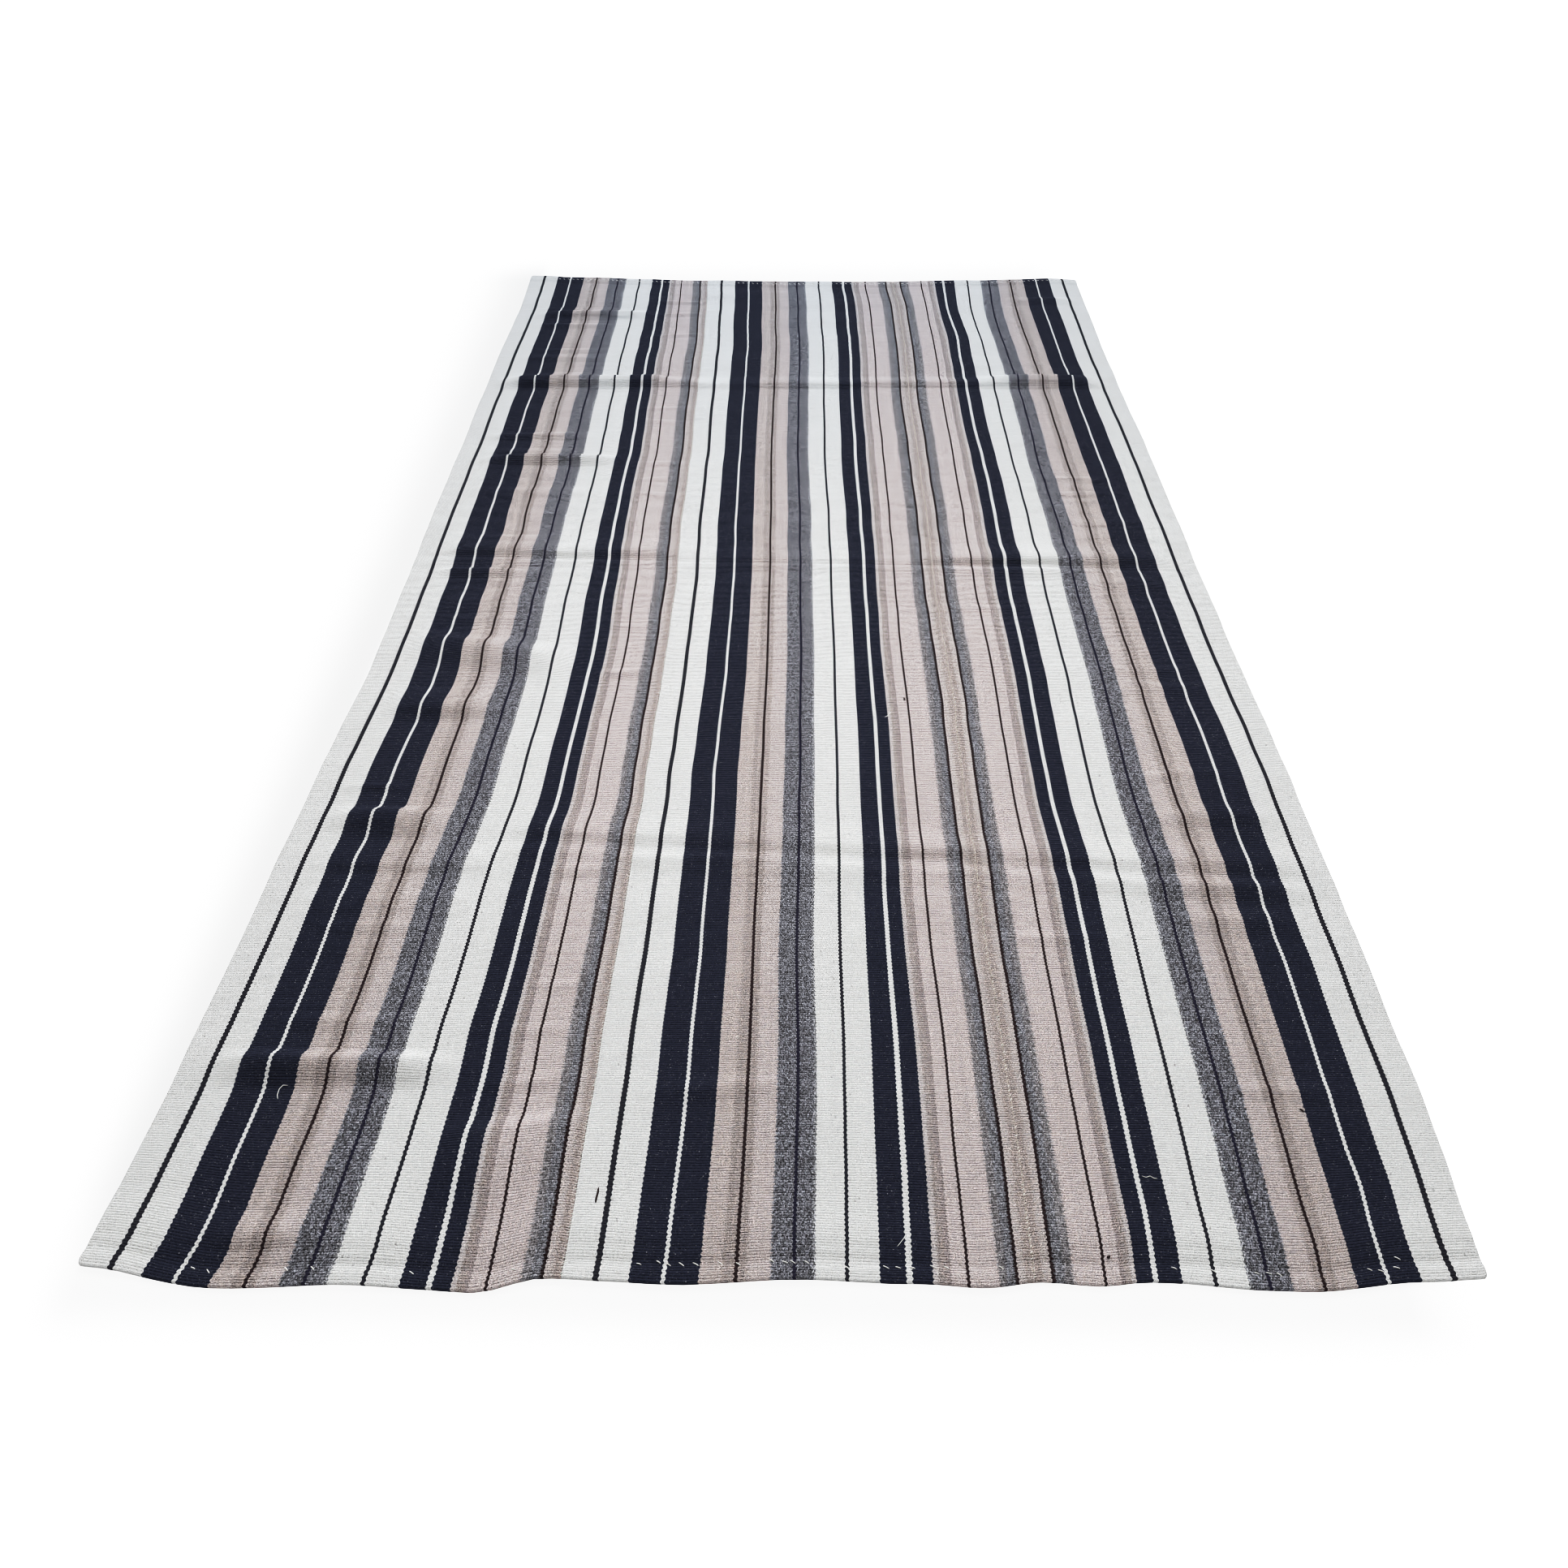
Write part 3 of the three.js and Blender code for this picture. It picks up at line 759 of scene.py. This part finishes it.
class Shader:
    """Adds nodes to one material. An input is a number, a colour or another node's output."""

    def __init__(self, name):
        self.material = bpy.data.materials.new(name)
        self.material.use_nodes = True
        self.tree = self.material.node_tree
        self.surface = self.tree.nodes["Principled BSDF"]

    def add(self, kind, inputs=(), output=0, **settings):
        node = self.tree.nodes.new(kind)
        for key, value in settings.items():
            setattr(node, key, value)
        for key, value in dict(inputs).items():
            self.feed(node.inputs[key], value)
        return node.outputs[output]

    def feed(self, socket, value):
        if isinstance(value, bpy.types.NodeSocket):
            self.tree.links.new(value, socket)
        elif isinstance(value, tuple) and socket.type == "RGBA":
            socket.default_value = (*value, 1.0)
        else:
            socket.default_value = value

    def math(self, operation, *values, clamp=False):
        return self.add("ShaderNodeMath", dict(enumerate(values)), operation=operation, use_clamp=clamp)

    def scaled(self, value, factor, start):
        return self.math("MULTIPLY_ADD", value, factor, start)

    def sum(self, *values):
        total = values[0]
        for value in values[1:]:
            total = self.math("ADD", total, value)
        return total

    def product(self, *values):
        total = values[0]
        for value in values[1:]:
            total = self.math("MULTIPLY", total, value)
        return total

    def around(self, middle, noise, size):
        """The middle value where the noise is at its own middle, and more or less on either side."""
        return self.scaled(self.math("SUBTRACT", noise, 0.5), size, middle)

    def combine(self, x, y, z):
        return self.add("ShaderNodeCombineXYZ", {"X": x, "Y": y, "Z": z})

    def separate(self, vector):
        return tuple(self.add("ShaderNodeSeparateXYZ", {"Vector": vector}).node.outputs)

    def noise(self, vector, scale, detail=2.0, roughness=0.5):
        inputs = {"Vector": vector, "Scale": scale, "Detail": detail, "Roughness": roughness}
        return self.add("ShaderNodeTexNoise", inputs)

    def random(self, vector):
        """Three random numbers for each whole place."""
        return self.add("ShaderNodeTexWhiteNoise", {"Vector": vector}, output="Color")

    def mix(self, share, first, second, blend="MIX"):
        inputs = {"Factor": share, COLOUR_A: first, COLOUR_B: second}
        return self.add("ShaderNodeMix", inputs, COLOUR_RESULT, data_type="RGBA", blend_type=blend)

    def scale_colour(self, colour, factor):
        return self.add("ShaderNodeVectorMath", {0: colour, "Scale": factor}, operation="SCALE")

    def table(self, number, rows):
        """The row of a table of colours or of three values, by its number."""
        share = self.math("DIVIDE", self.math("ADD", number, 0.5), len(rows))
        output = self.add("ShaderNodeValToRGB", {"Fac": share})
        ramp = output.node.color_ramp
        ramp.interpolation = "CONSTANT"
        ramp.elements.remove(ramp.elements[1])
        ramp.elements[0].color = (*rows[0], 1.0)
        for index, row in enumerate(rows[1:], 1):
            ramp.elements.new(index / len(rows)).color = (*row, 1.0)
        return output

    def relief(self, height):
        """Bumps of a height in millimetres."""
        self.set(Normal=self.add("ShaderNodeBump", {"Height": height, "Distance": MM}, "Normal"))

    def set(self, **values):
        for key, value in values.items():
            self.feed(self.surface.inputs[key.replace("_", " ")], value)


def softened(s, thread, noise):
    """The place in threads whose yarn shows: a little aside everywhere, and further near a soft edge."""
    shift = EDGE_FRAY
    for edge, reach in SOFT_EDGES.items():
        beside = s.math("LESS_THAN", s.math("ABSOLUTE", s.math("SUBTRACT", thread, edge)), reach)
        shift = s.scaled(beside, EDGE_MIXING * reach, shift)
    return s.around(thread, noise, shift)


def stripe_number(s, thread):
    """The number of the stripe that a place in threads belongs to."""
    ends = np.cumsum([threads for threads, _ in STRIPES])
    return s.sum(*(s.math("GREATER_THAN", thread, float(end)) for end in ends[:-1]))


def woven_wool():
    """Warp-faced plain weave: on each rib every second warp thread shows as a bead, and the edges of the
    stripes are serrated."""
    s = Shader("woven_wool")
    x, y, seed = s.separate(s.add("ShaderNodeAttribute", output="Vector", attribute_name="cloth"))

    def grain(kind, across=x):
        place = s.combine(s.math("DIVIDE", across, kind.across), s.math("DIVIDE", y, kind.along), seed)
        return s.noise(place, 1.0, kind.detail, kind.roughness)

    # The ribs aren't quite even, and the edge of a stripe swings to and fro from rib to rib.
    rib = s.around(s.math("DIVIDE", y, RIB_PITCH), grain(SWAY), RIB_SWAY)
    rib_number = s.math("FLOOR", rib)
    rise = s.scaled(s.math("FRACT", rib), 2.0, -1.0)
    straight = s.math("DIVIDE", x, THREAD_PITCH)
    swing = s.scaled(s.math("COSINE", s.product(rib, math.pi)), EDGE_SWING, straight)

    # Of each two threads one shows, over the width of both, and on the next rib it is the other one.
    odd = s.math("MODULO", rib_number, 2.0)
    thread = s.scaled(rise, BEAD_SLANT, straight)
    pair = s.math("FLOOR", s.scaled(s.math("SUBTRACT", thread, odd), 0.5, 0.25))
    warp = s.scaled(pair, 2.0, odd)
    aside = s.math("SUBTRACT", s.math("SUBTRACT", thread, warp), 0.5)

    chance, tint, rare = s.separate(s.random(s.combine(warp, rib_number, seed)))
    of_thread, _, _ = s.separate(s.random(s.combine(warp, 0.0, 0.0)))
    fibres, heather = grain(FIBRES), grain(HEATHER)
    number = stripe_number(s, softened(s, swing, heather))
    colour = s.table(number, [yarn.colour for _, yarn in STRIPES])
    streak, pepper, fleck = s.separate(s.table(number, [yarn[1:] for _, yarn in STRIPES]))

    # Each thread's own tone, which drifts along it, the change from bead to bead, and that of the fibres.
    for noise, shade in (
            (grain(STREAKS, warp), Shade(streak=0.45)),
            (of_thread, Shade(streak=0.12)),
            (chance, Shade(streak=0.25, fleck=0.15, every=0.08)),
            (fibres, Shade(streak=6.0, every=0.4, least=0.3)),
            (grain(MOTTLE), Shade(streak=0.45, every=0.2)),
            (tint, Shade(pepper=1.2)),
            (heather, Shade(pepper=5.0, least=0.12))):
        shares = zip((streak, pepper, fleck), shade)
        size = s.sum(shade.every, *(s.product(share, part) for share, part in shares if part))
        colour = s.scale_colour(colour, s.math("MAXIMUM", s.around(1.0, noise, size), shade.least))
    hue = s.mix(streak, (1.0, 1.0, 1.0), s.mix(tint, WARMER, COOLER))
    # Painted light: the light yarns are made lighter and greyer away from the near hem, where the view
    # grazes the cloth.
    lighter = s.product(s.math("DIVIDE", y, LIGHTER_OVER, clamp=True), LIGHTER)
    colour = s.mix(1.0, colour, hue, "MULTIPLY")
    colour = s.scale_colour(colour, s.scaled(lighter, streak, 1.0))
    greyer = s.product(s.math("DIVIDE", y, GREYER_OVER, clamp=True), streak, GREYER)
    colour = s.mix(greyer, colour, s.add("ShaderNodeRGBToBW", {"Color": colour}))

    # Lint on the dark yarn, and here and there a dark fibre in the light yarn.
    cell = [s.math("FLOOR", s.math("DIVIDE", place, LINT_SIZE)) for place in (x, y)]
    lint_chance, lint_tone, _ = s.separate(s.random(s.combine(*cell, seed)))
    bright = s.product(s.math("GREATER_THAN", lint_chance, 1.0 - BRIGHT_LINT), BRIGHT_LINT_SHOWS)
    faint = s.product(s.math("GREATER_THAN", lint_chance, 1.0 - FAINT_LINT), lint_tone, FAINT_LINT_SHOWS)
    colour = s.mix(s.product(s.math("MAXIMUM", bright, faint), fleck), colour, LINT)
    spotted = s.product(s.math("LESS_THAN", rare, DARK_SPECKS), s.math("SUBTRACT", 1.0, fleck))
    colour = s.mix(s.product(spotted, DARK_SPECKS_SHOW), colour, DARK_SPECK)

    # Painted shade: less light reaches the grooves between the beads and the ribs, and what does is tinted
    # by the yarn.
    beside = s.product(s.math("POWER", s.math("ABSOLUTE", aside), BEAD_GROOVE_POWER), BEAD_GROOVE)
    broken = s.math("MAXIMUM", s.around(1.0, fibres, GROOVE_FIBRES), GROOVE_LEAST)
    over = s.product(s.math("POWER", s.math("ABSOLUTE", rise), RIB_GROOVE_POWER), RIB_GROOVE, broken)
    depth = s.scaled(streak, GROOVE_STREAK, GROOVE_EVERY)
    groove = s.math("MULTIPLY", s.math("ADD", beside, over), depth, clamp=True)
    colour = s.mix(groove, colour, s.scale_colour(s.mix(1.0, colour, colour, "MULTIPLY"), GROOVE_LIGHT))

    dome = s.product(s.math("SUBTRACT", 1.0, s.product(aside, aside)), DOME)
    twist = s.math("SINE", s.sum(s.product(aside, TWIST_ACROSS), s.product(rise, TWIST_ALONG)))
    s.relief(s.sum(dome, s.product(twist, TWIST), s.product(fibres, FIBRES_RELIEF)))
    s.set(Base_Color=colour, Roughness=s.scaled(chance, ROUGHNESS_SPREAD, WOOL_ROUGHNESS),
          Specular_IOR_Level=WOOL_SHINE)
    return s.material


def twisted_thread(name, colour, tone):
    """Sewing thread of two twisted plies."""
    s = Shader(name)
    place = s.add("ShaderNodeTexCoord", output="Object")
    fibres = s.noise(place, THREAD_FIBRES, detail=3.0, roughness=0.6)
    patches = s.noise(place, THREAD_PATCHES)
    shade = s.product(s.around(1.0, fibres, tone), s.around(1.0, patches, tone))
    plies = s.math("SINE", s.product(s.sum(*s.separate(place)), THREAD_PLIES))
    s.relief(s.sum(s.product(plies, PLIES_RELIEF), s.product(fibres, THREAD_RELIEF)))
    s.set(Base_Color=s.scale_colour(colour, shade), Specular_IOR_Level=THREAD_SHINE,
          Roughness=s.scaled(fibres, THREAD_SPREAD, THREAD_ROUGHNESS))
    return s.material


def tube(path, radius, sides=6):
    """The points and faces of a closed thread along a path, thinner at its ends."""
    path = np.asarray(path, float)
    count = len(path)
    run = np.gradient(path, axis=0)
    run /= np.linalg.norm(run, axis=1)[:, None]
    nearly_up = (0.001, 0.001, 1.0)
    side = np.cross(run, nearly_up)
    side /= np.linalg.norm(side, axis=1)[:, None]
    other = np.cross(side, run)
    share = np.linspace(0, 1, count)
    taper = radius * np.interp(share, [0, THREAD_END, 1 - THREAD_END, 1], [THREAD_TIP, 1, 1, THREAD_TIP])
    turn = np.linspace(0, 2 * math.pi, sides, endpoint=False)[None, :, None]
    spokes = np.cos(turn) * side[:, None, :] + np.sin(turn) * other[:, None, :]
    rings = path[:, None, :] + taper[:, None, None] * spokes
    corners = np.arange(count * sides).reshape(count, sides)
    after = np.roll(corners, -1, axis=1)
    quads = np.stack([corners[:-1], after[:-1], after[1:], corners[1:]], axis=-1)
    faces = quads.reshape(-1, 4).tolist() + [corners[0, ::-1].tolist(), corners[-1].tolist()]
    return rings.reshape(-1, 3), faces


def join_tubes(name, threads, material):
    """One mesh of many threads, each a path and a radius."""
    points, faces = [], []
    start = 0
    for path, radius in threads:
        ring_points, ring_faces = tube(path, radius)
        points.append(ring_points)
        faces += [tuple(corner + start for corner in face) for face in ring_faces]
        start += len(ring_points)
    piece = new_mesh(name, np.concatenate(points), faces)
    piece.data.materials.append(material)
    return piece


def on_cloth(across, along, height):
    """Points at heights above the upper face of the cloth."""
    across, along = np.asarray(across, float), np.asarray(along, float)
    x, y = plan(across, along)
    return np.stack([x, y, top_height(across, along) + height], axis=-1)


def stitch(across, along, run_across, run_along, rise, steps=6):
    """A stitch that comes up out of the cloth, lies on it and goes down again."""
    share = np.linspace(0, 1, steps + 1)
    arch = np.sin(math.pi * share) ** STITCH_ARCH
    height = rise * arch - STITCH_SINK * (1 - arch) - STITCH_BED
    return on_cloth(across + run_across * (share - 0.5), along + run_along * (share - 0.5), height)


def hem_stitches(name, places, seed, material):
    """The hand-sewn running stitches that hold a hem, by their places (across, along)."""
    rng = np.random.RandomState(seed)
    threads = []
    for across, along in places:
        length = rng.uniform(*HEM_STITCH_LENGTH)
        angle = math.radians(rng.uniform(*HEM_STITCH_DEGREES))
        path = stitch(across, along, length * math.cos(angle), length * math.sin(angle), HEM_STITCH_RISE)
        threads.append((path, rng.uniform(*HEM_STITCH_RADIUS)))
    return join_tubes(name, threads, material)


def seam_stitches(name, sewing, material):
    """The overcast stitches that draw two selvedges together, uneven as sewn by hand."""
    rng = np.random.RandomState(sewing.seed)
    threads = []
    along = SEWING_END
    while along < RUG_LENGTH - SEWING_END:
        width = sewing.reach * rng.uniform(*REACH_SHARE)
        middle = sewing.seam + rng.uniform(*SEWING_ASIDE)
        run = sewing.lean * rng.uniform(*LEAN_SHARE)
        threads.append((stitch(middle, along, width, run, SEWING_RISE), rng.uniform(*SEWING_RADIUS)))
        along += sewing.spacing * rng.uniform(*SPACING_SHARE)
    return join_tubes(name, threads, material)


def seam_cord(name, seam, material):
    """The sewing yarn that runs along a seam, between its selvedges."""
    along = np.arange(CORD_STEP, RUG_LENGTH, CORD_STEP)
    path = on_cloth(np.full(len(along), seam), along, -CORD_DEPTH)
    return join_tubes(name, [(path, CORD_RADIUS)], material)


def loose_end(end):
    """A bit of yarn that lies on the cloth, by its start and its steps."""
    corners = np.cumsum([(end.across, end.along)] + end.steps, axis=0)
    count = len(corners)
    share = np.linspace(0, count - 1, LOOSE_POINTS * (count - 1) + 1)
    across = np.interp(share, np.arange(count), corners[:, 0])
    along = np.interp(share, np.arange(count), corners[:, 1])
    return on_cloth(across, along, end.radius * LOOSE_HEIGHT), end.radius


def rug_centre(probes=400):
    """Where the middle of the rug's outline lies on the floor, in the measures of plan()."""
    sides, _ = plan(*np.meshgrid([LEFT_EDGE, RIGHT_EDGE], np.linspace(0, RUG_LENGTH, probes)))
    across = np.linspace(LEFT_EDGE, RIGHT_EDGE, probes)
    _, near = plan(across, np.zeros(probes))
    _, far = plan(across, np.full(probes, RUG_LENGTH))
    return (sides.min() + sides.max()) / 2, (near.min() + far.max()) / 2


# The camera's place and the rug's are measured from the same corner. The rug's box is centred in the frame.
box_middle = (cad_box[0] + cad_box[1]) / 2
rug_x, rug_y = rug_centre()
CENTRE_X = rug_x - box_middle.x / MM
CENTRE_Y = rug_y - box_middle.y / MM

wool = woven_wool()
cotton = twisted_thread("cotton_thread", COTTON, tone=0.25)
beige_thread = twisted_thread("beige_thread", BEIGE_THREAD, tone=0.4)
dark_wool = twisted_thread("dark_wool", DARK_WOOL, tone=0.4)

for index, strip in enumerate(STRIPS):
    sheet = make_sheet(strip, index)
    sheet.data.materials.append(wool)
    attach(sheet, "root")
    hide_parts(strip.cad)

far_across = np.arange(LEFT_EDGE + FAR_STITCH_FIRST, RIGHT_EDGE - FAR_STITCH_LAST, FAR_STITCH_STEP)
far_places = [(across, RUG_LENGTH - FAR_STITCH_INSET) for across in far_across]
near_stitches = hem_stitches("hem_stitches_near", SHOWN_STITCHES.items(), NEAR_HEM_SEED, cotton)
far_stitches = hem_stitches("hem_stitches_far", far_places, FAR_HEM_SEED, cotton)
left_stitches = seam_stitches("seam_stitches_left", LEFT_SEWING, cotton)
right_stitches = seam_stitches("seam_stitches_right", RIGHT_SEWING, beige_thread)
right_dots = seam_stitches("seam_dots_right", RIGHT_DOTS, cotton)
right_cord = seam_cord("seam_cord_right", RIGHT_SEAM, beige_thread)
light_ends = join_tubes("loose_ends_light", [loose_end(end) for end in LIGHT_ENDS], cotton)
dark_ends = join_tubes("loose_ends_dark", [loose_end(end) for end in DARK_ENDS], dark_wool)
for piece in (near_stitches, far_stitches, left_stitches, right_stitches, right_dots, right_cord,
              light_ends, dark_ends):
    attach(piece, "root")


def add_stage():
    """A pale floor with a painted shadow beside the rug, and soft light from beyond the rug."""
    bpy.ops.mesh.primitive_plane_add(size=FLOOR_SIZE, location=(0.0, 0.0, -FLOOR_GAP))
    floor = bpy.context.object
    floor.name = "floor"
    s = Shader("pale_floor")
    x, y, _ = s.separate(s.add("ShaderNodeNewGeometry", output="Position"))
    # The floor's glow is dimmed beside the rug's left side and its hems: a painted shadow that fades with
    # the distance from them.
    beside = s.math("SUBTRACT", -SHADE_ACROSS, x)
    beyond = s.math("SUBTRACT", s.math("ABSOLUTE", s.math("ADD", y, SHADE_SHIFT)), SHADE_ALONG)
    outward = s.combine(s.math("MAXIMUM", beside, 0.0), s.math("MAXIMUM", beyond, 0.0), 0.0)
    away = s.add("ShaderNodeVectorMath", {0: outward}, output="Value", operation="LENGTH")
    reach = s.scaled(y, SHADE_GROWTH, SHADE_REACH)
    fall = {"Value": away, "From Max": reach, "To Min": 1.0, "To Max": 0.0}
    shade = s.add("ShaderNodeMapRange", fall, interpolation_type="SMOOTHSTEP")
    inside = s.math("DIVIDE", s.math("SUBTRACT", SHADE_ACROSS, x), SHADE_FADE, clamp=True)
    at_left = s.math("DIVIDE", s.math("SUBTRACT", -LEFT_ACROSS, x), LEFT_REACH, clamp=True)
    past_corner = s.math("DIVIDE", s.math("ADD", y, SHADE_ALONG), SHADE_FADE, clamp=True)
    painted_shadow_strength = s.scaled(s.product(at_left, past_corner), LEFT_PAINTED_SHADOW, FLOOR_PAINTED_SHADOW)
    glow = s.math("SUBTRACT", FLOOR_GLOW, s.product(shade, inside, painted_shadow_strength))
    s.set(Base_Color=FLOOR_COLOUR, Roughness=FLOOR_ROUGHNESS, Specular_IOR_Level=FLOOR_SHINE)
    s.set(Emission_Color=(1.0, 1.0, 1.0), Emission_Strength=glow)
    floor.data.materials.append(s.material)

    sun = bpy.data.lights.new("window_light", "SUN")
    sun.energy = WINDOW_POWER
    sun.angle = math.radians(WINDOW_ANGLE)
    sun.color = WINDOW_COLOUR
    window = placed("window_light", sun)
    window.rotation_euler = (math.radians(-WINDOW_TILT), 0.0, math.radians(-WINDOW_TURN))

    for lamp in LAMPS:
        area = bpy.data.lights.new(lamp.name, "AREA")
        area.size = LAMP_SIZE
        area.energy = lamp.power
        area.color = lamp.colour
        placed(lamp.name, area).location = lamp.place

    world = bpy.data.worlds.new("soft_room")
    world.use_nodes = True
    background = world.node_tree.nodes["Background"]
    background.inputs["Color"].default_value = (1.0, 1.0, 1.0, 1.0)
    background.inputs["Strength"].default_value = ROOM_LIGHT
    bpy.context.scene.world = world


def add_camera():
    """The photograph's camera, from its place and its three turns."""
    data = bpy.data.cameras.new("camera")
    data.sensor_width = SENSOR
    data.lens = SENSOR * FOCAL_PIXELS / PHOTO_SIDE
    camera = placed("camera", data)
    place = Vector((CAMERA_ACROSS - CENTRE_X, CAMERA_ALONG - CENTRE_Y, CAMERA_HEIGHT)) * MM
    turn = Matrix.Rotation(CAMERA_TURN, 4, "Z")
    tilt = Matrix.Rotation(math.radians(90) - CAMERA_DOWN, 4, "X")
    roll = Matrix.Rotation(-CAMERA_ROLL, 4, "Z")
    camera.matrix_world = Matrix.Translation(place) @ turn @ tilt @ roll
    bpy.context.scene.camera = camera
    bpy.context.scene.cycles.filter_width = PIXEL_FILTER


def set_tone():
    """The plain view with the photograph's tone."""
    view = bpy.context.scene.view_settings
    view.view_transform = "Standard"
    view.use_curve_mapping = True
    curve = view.curve_mapping.curves[3]
    for point, place in zip(curve.points, (VIEW_CURVE[0], VIEW_CURVE[-1])):
        point.location = place
    for light, shown in VIEW_CURVE[1:-1]:
        curve.points.new(light, shown)
    view.curve_mapping.update()


add_stage()
add_camera()
set_tone()
